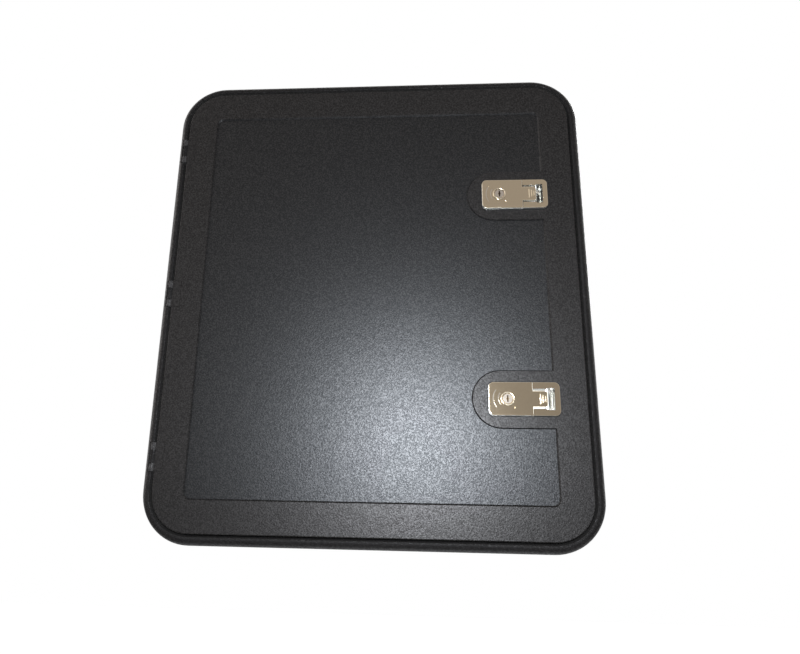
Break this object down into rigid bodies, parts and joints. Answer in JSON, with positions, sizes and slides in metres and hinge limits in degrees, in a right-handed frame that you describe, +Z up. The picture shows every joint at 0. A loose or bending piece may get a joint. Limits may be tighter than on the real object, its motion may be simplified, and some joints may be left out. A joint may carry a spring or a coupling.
{
  "type": "service door",
  "caption": "Black moulded locker door for a caravan wall: sloping frame, hinged insulated leaf with a sunken panel, and flush lift latches with key locks.",
  "frame": {"origin": "centre of the opening on the outer face of the wall that the frame is fitted to", "axes": "+X right, +Z up, the front of the door faces -Y; the wall's outer face is the plane Y = 0"},
  "size_m": [0.4488, 0.0478, 0.5048],
  "materials": {
    "black_abs": "fine pebbled grain, satin",
    "liner_abs": "fine grain, satin",
    "foam": "closed-cell foam, matt",
    "black_rubber": "matt",
    "latch_metal": "polished die-cast, warm nickel tone",
    "lock_metal": "polished",
    "steel": "zinc plated",
    "acetal": "smooth"
  },
  "bodies": {
    "frame": {"outer_frame": "black_abs", "wall_gasket": "black_rubber", "strike_plate_lower": "steel", "strike_plate_upper": "steel", "strike_screws": "steel", "hinge_pin_lower": "steel", "hinge_pin_middle": "steel", "hinge_pin_upper": "steel"},
    "door": {"door_panel": "black_abs", "door_seal": "black_rubber", "inner_liner": "liner_abs", "liner_screws": "steel", "insulation_core": "foam", "hinge_screws": "steel", "hinge_leaf_lower": "black_abs", "hinge_leaf_middle": "black_abs", "hinge_leaf_upper": "black_abs", "latch_gasket_lower": "black_rubber", "latch_base_lower": "latch_metal", "handle_pin_lower": "steel", "bolt_spring_lower": "steel", "latch_bracket_lower": "steel", "bracket_screws_lower": "steel", "latch_gasket_upper": "black_rubber", "latch_base_upper": "latch_metal", "handle_pin_upper": "steel", "bolt_spring_upper": "steel", "latch_bracket_upper": "steel", "bracket_screws_upper": "steel"},
    "handle_lower": {"latch_handle_lower": "latch_metal"},
    "bolt_lower": {"latch_bolt_lower": "acetal"},
    "key_lower": {"key_barrel_lower": "lock_metal", "key_cam_lower": "steel", "cam_screw_lower": "steel"},
    "handle_upper": {"latch_handle_upper": "latch_metal"},
    "bolt_upper": {"latch_bolt_upper": "acetal"},
    "key_upper": {"key_barrel_upper": "lock_metal", "key_cam_upper": "steel", "cam_screw_upper": "steel"}
  },
  "joints": [
    {"name": "door_hinge", "type": "hinge", "parent": "frame", "child": "door", "pos_m": [-0.2162, -0.0086, 0], "axis": [0, 0, -1], "range_deg": [0, 110]},
    {"name": "handle_lift_lower", "type": "hinge", "parent": "door", "child": "handle_lower", "pos_m": [0.1203, -0.0114, -0.109], "axis": [0, 0, -1], "range_deg": [0, 20], "stiffness_Nm_per_rad": 0.3, "springref_deg": -20.05},
    {"name": "bolt_slide_lower", "type": "slide", "parent": "door", "child": "bolt_lower", "axis": [-1, 0, 0], "range_m": [0, 0.0096], "deforming": ["bolt_spring_lower"]},
    {"name": "key_turn_lower", "type": "hinge", "parent": "handle_lower", "child": "key_lower", "pos_m": [0.1348, 0, -0.109], "axis": [0, 1, 0], "range_deg": [0, 90]},
    {"name": "handle_lift_upper", "type": "hinge", "parent": "door", "child": "handle_upper", "pos_m": [0.1203, -0.0114, 0.109], "axis": [0, 0, -1], "range_deg": [0, 20], "stiffness_Nm_per_rad": 0.3, "springref_deg": -20.05},
    {"name": "bolt_slide_upper", "type": "slide", "parent": "door", "child": "bolt_upper", "axis": [-1, 0, 0], "range_m": [0, 0.0096], "deforming": ["bolt_spring_upper"]},
    {"name": "key_turn_upper", "type": "hinge", "parent": "handle_upper", "child": "key_upper", "pos_m": [0.1348, 0, 0.109], "axis": [0, 1, 0], "range_deg": [0, 90]}
  ],
  "couplings": [
    {"joint": "bolt_slide_lower", "follows": "handle_lift_lower", "m_per_rad": 0.027215},
    {"joint": "bolt_slide_upper", "follows": "handle_lift_upper", "m_per_rad": 0.027215}
  ]
}
